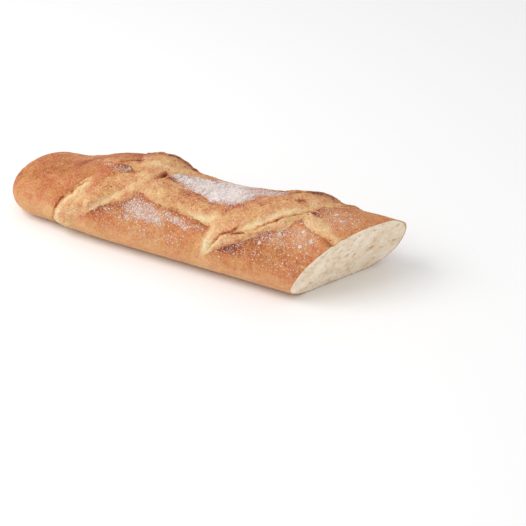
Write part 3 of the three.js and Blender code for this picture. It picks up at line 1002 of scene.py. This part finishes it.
    # Loose specks, drawn coarser than flour's grains of 0.1 mm, as those cake together.
    for speck_spacing, speck_share in ((1.4, 0.6), (0.8, 0.95)):
        speck = add_node(tree, "ShaderNodeTexVoronoi", None, {
            "Vector": wander, "Scale": per_metre(speck_spacing),
        })
        draw = add_node(tree, "ShaderNodeSeparateColor", None, {"Color": speck.outputs["Color"]})
        chance = add_node(tree, "ShaderNodeMath", {"operation": "MULTIPLY"}, {
            0: flour, 1: speck_share,
        }).outputs[0]
        here = add_node(tree, "ShaderNodeMath", {"operation": "LESS_THAN"}, {
            0: draw.outputs[0], 1: chance,
        }).outputs[0]
        reach = add_node(tree, "ShaderNodeMath", {"operation": "MULTIPLY_ADD"}, {
            0: draw.outputs[1], 1: 0.25, 2: 0.2,
        }).outputs[0]
        depth = add_node(tree, "ShaderNodeMath", {"operation": "SUBTRACT"}, {
            0: reach, 1: speck.outputs["Distance"],
        }).outputs[0]
        grain = add_node(tree, "ShaderNodeMapRange", None, {
            "Value": depth, "From Min": 0.0, "From Max": 0.12, "To Min": 0.0, "To Max": 0.88,
        }).outputs["Result"]
        speckle = add_node(tree, "ShaderNodeMath", {"operation": "MULTIPLY"}, {
            0: here, 1: grain,
        }).outputs[0]
        cover = add_node(tree, "ShaderNodeMath", {"operation": "MAXIMUM"}, {
            0: cover, 1: speckle,
        }).outputs[0]
    floured = add_node(tree, "ShaderNodeMix", {"data_type": "RGBA"}, {
        0: cover, 6: tinted, 7: linear("#ded5d2"),
    }).outputs[2]

    # Grit: painted light and shade on the fine grains, each a little lighter or darker than the
    # next, most of all in the flour.
    bloom_grain_shading = add_node(tree, "ShaderNodeMath", {"operation": "MULTIPLY"}, {
        0: bloom, 1: 0.2,
    }).outputs[0]
    coarse = add_node(tree, "ShaderNodeMath", {"operation": "MAXIMUM"}, {
        0: bloom_grain_shading, 1: flour,
    }).outputs[0]
    grain_shading_reach = add_node(tree, "ShaderNodeMapRange", None, {
        "Value": coarse, "From Min": 0.0, "From Max": 0.8, "To Min": 0.08, "To Max": 0.44,
    }).outputs["Result"]
    grain_shading_draw = add_node(tree, "ShaderNodeMath", {"operation": "SUBTRACT"}, {
        0: draws.outputs[0], 1: 0.5,
    }).outputs[0]
    grain_light_and_shade = add_node(tree, "ShaderNodeMath", {"operation": "MULTIPLY_ADD"}, {
        0: grain_shading_draw, 1: grain_shading_reach, 2: 1.0,
    }).outputs[0]
    colour = add_node(tree, "ShaderNodeHueSaturation", None, {
        "Value": grain_light_and_shade, "Color": floured,
    }).outputs["Color"]
    dull = add_node(tree, "ShaderNodeMapRange", None, {
        "Value": cover, "From Min": 0.0, "From Max": 1.0, "To Min": 0.6, "To Max": 0.95,
    }).outputs["Result"]
    raised = add_node(tree, "ShaderNodeMath", {"operation": "MULTIPLY_ADD"}, {
        0: cover, 1: 0.8, 2: fleck,
    }).outputs[0]
    bumpy = add_node(tree, "ShaderNodeBump", None, {
        "Strength": 0.8, "Distance": 0.5 * MILLIMETRE, "Height": raised,
    }).outputs["Normal"]
    shader = add_node(tree, "ShaderNodeBsdfPrincipled", None, {
        "Base Color": colour, "Roughness": dull, "IOR": 1.45, "Specular IOR Level": 0.2,
        "Normal": bumpy,
    }).outputs["BSDF"]
    add_node(tree, "ShaderNodeOutputMaterial", None, {"Surface": shader})
    return material


def wheat_crumb():
    """Wheat crumb: cut with a saw-toothed knife, so it is torn, porous and quite matt.

    It is cream, with painted shade in its pores, and it browns within two millimetres of the crust."""
    material, tree = new_material("wheat_crumb")
    place = add_node(tree, "ShaderNodeTexCoord").outputs["Object"]
    pore = add_node(tree, "ShaderNodeAttribute", {"attribute_name": "pore"}).outputs["Fac"]
    depth_in = add_node(tree, "ShaderNodeAttribute", {"attribute_name": "depth_in"}).outputs["Fac"]
    cells = add_node(tree, "ShaderNodeTexNoise", None, {
        "Vector": place, "Scale": per_metre(1.1), "Detail": 4.0, "Roughness": 0.65,
    }).outputs["Fac"]
    clouds = add_node(tree, "ShaderNodeTexNoise", None, {
        "Vector": place, "Scale": per_metre(9), "Detail": 2.0,
    }).outputs["Fac"]
    mixed = add_node(tree, "ShaderNodeMath", {"operation": "MULTIPLY_ADD"}, {
        0: cells, 1: 0.6, 2: clouds,
    }).outputs[0]
    cream = add_node(tree, "ShaderNodeValToRGB", {"stops": [
        (0.45, "#d8b996"), (0.7, "#f0dcc2"), (0.95, "#faecd8"),
    ]}, {"Fac": mixed}).outputs["Color"]
    # Painted shade in the pores, darker where they are deeper.
    deep = add_node(tree, "ShaderNodeMapRange", None, {
        "Value": pore, "From Min": 0.1, "From Max": 1.4, "To Min": 0.0, "To Max": 0.75,
    }).outputs["Result"]
    porous = add_node(tree, "ShaderNodeMix", {"data_type": "RGBA"}, {
        0: deep, 6: cream, 7: linear("#bd9468"),
    }).outputs[2]
    edge_wander = add_node(tree, "ShaderNodeMath", {"operation": "MULTIPLY_ADD"}, {
        0: cells, 1: 1.6, 2: depth_in,
    }).outputs[0]
    edge = add_node(tree, "ShaderNodeMapRange", {"interpolation_type": "SMOOTHSTEP"}, {
        "Value": edge_wander, "From Min": 1.0, "From Max": 2.2, "To Min": 1.0, "To Max": 0.0,
    }).outputs["Result"]
    colour = add_node(tree, "ShaderNodeMix", {"data_type": "RGBA"}, {
        0: edge, 6: porous, 7: linear("#b9804e"),
    }).outputs[2]
    bumpy = add_node(tree, "ShaderNodeBump", None, {
        "Strength": 0.7, "Distance": 0.4 * MILLIMETRE, "Height": cells,
    }).outputs["Normal"]
    shader = add_node(tree, "ShaderNodeBsdfPrincipled", None, {
        "Base Color": colour, "Roughness": 0.9, "IOR": 1.4, "Normal": bumpy,
    }).outputs["BSDF"]
    add_node(tree, "ShaderNodeOutputMaterial", None, {"Surface": shader})
    return material


def loose_flour():
    """Wheat flour, dusted on by hand and caked into clumps: quite matt and a warm white."""
    material, tree = new_material("loose_flour")
    shader = add_node(tree, "ShaderNodeBsdfPrincipled", None, {
        "Base Color": linear("#e6dedb"), "Roughness": 1.0, "IOR": 1.4, "Specular IOR Level": 0.2,
    }).outputs["BSDF"]
    add_node(tree, "ShaderNodeOutputMaterial", None, {"Surface": shader})
    return material


def photo_studio():
    """A white board, soft light from all round, a soft box from the upper left, and the camera."""
    scene = bpy.context.scene
    scene.view_settings.view_transform = "Standard"
    board = bpy.data.meshes.new("white_board")
    corners = [(-1, -1), (1, -1), (1, 1), (-1, 1)]
    corners = [(x * BOARD_REACH, y * BOARD_REACH, BOARD_LEVEL) for x, y in corners]
    board.from_pydata(corners, [], [(0, 1, 2, 3)])
    floor = bpy.data.objects.new("white_board", board)
    scene.collection.objects.link(floor)
    material, tree = new_material("matt_white_board")
    shader = add_node(tree, "ShaderNodeBsdfPrincipled", None, {
        "Base Color": linear("#f6f6f6"), "Roughness": 0.9,
    }).outputs["BSDF"]
    add_node(tree, "ShaderNodeOutputMaterial", None, {"Surface": shader})
    board.materials.append(material)

    world = bpy.data.worlds.new("light_tent")
    scene.world = world
    world.use_nodes = True
    world.node_tree.nodes.clear()
    glow = add_node(world.node_tree, "ShaderNodeBackground", None, {
        "Color": linear("#ffffff"), "Strength": TENT_STRENGTH,
    }).outputs["Background"]
    add_node(world.node_tree, "ShaderNodeOutputWorld", None, {"Surface": glow})

    lamp = bpy.data.lights.new("soft_box", "AREA")
    lamp.size = LAMP_SIZE
    lamp.energy = LAMP_POWER
    soft_box = bpy.data.objects.new("soft_box", lamp)
    soft_box.location = LAMP_PLACE
    soft_box.rotation_euler = (-soft_box.location).to_track_quat("-Z", "Y").to_euler()
    scene.collection.objects.link(soft_box)

    azimuth, elevation = math.radians(VIEW_AZIMUTH), math.radians(VIEW_ELEVATION)
    back = Vector((
        math.sin(azimuth) * math.cos(elevation),
        -math.cos(azimuth) * math.cos(elevation),
        math.sin(elevation),
    ))
    aim = Vector(VIEW_AIM) * MILLIMETRE
    aim += Vector((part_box("loaf")[0].x, -MIDDLE_ACROSS * MILLIMETRE, 0))
    lens = bpy.data.cameras.new("camera")
    lens.sensor_width = SENSOR_WIDTH
    lens.lens = VIEW_FOCAL_PIXELS / IMAGE_PIXELS * SENSOR_WIDTH
    lens.clip_start = NEAREST_SEEN
    camera = bpy.data.objects.new("camera", lens)
    camera.location = aim + back * VIEW_DISTANCE * MILLIMETRE
    camera.rotation_euler = back.to_track_quat("Z", "Y").to_euler()
    scene.collection.objects.link(camera)
    scene.camera = camera


photo_studio()
crust, finish, along, around = crust_rings()
loaf = bake_loaf(crust, finish)
loaf.data.materials.append(baked_crust())
loaf.data.materials.append(wheat_crumb())
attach(loaf, "root")
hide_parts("loaf")
flour = flour_clumps(crust, finish["flour"], along, around)
flour.data.materials.append(loose_flour())
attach(flour, "root")
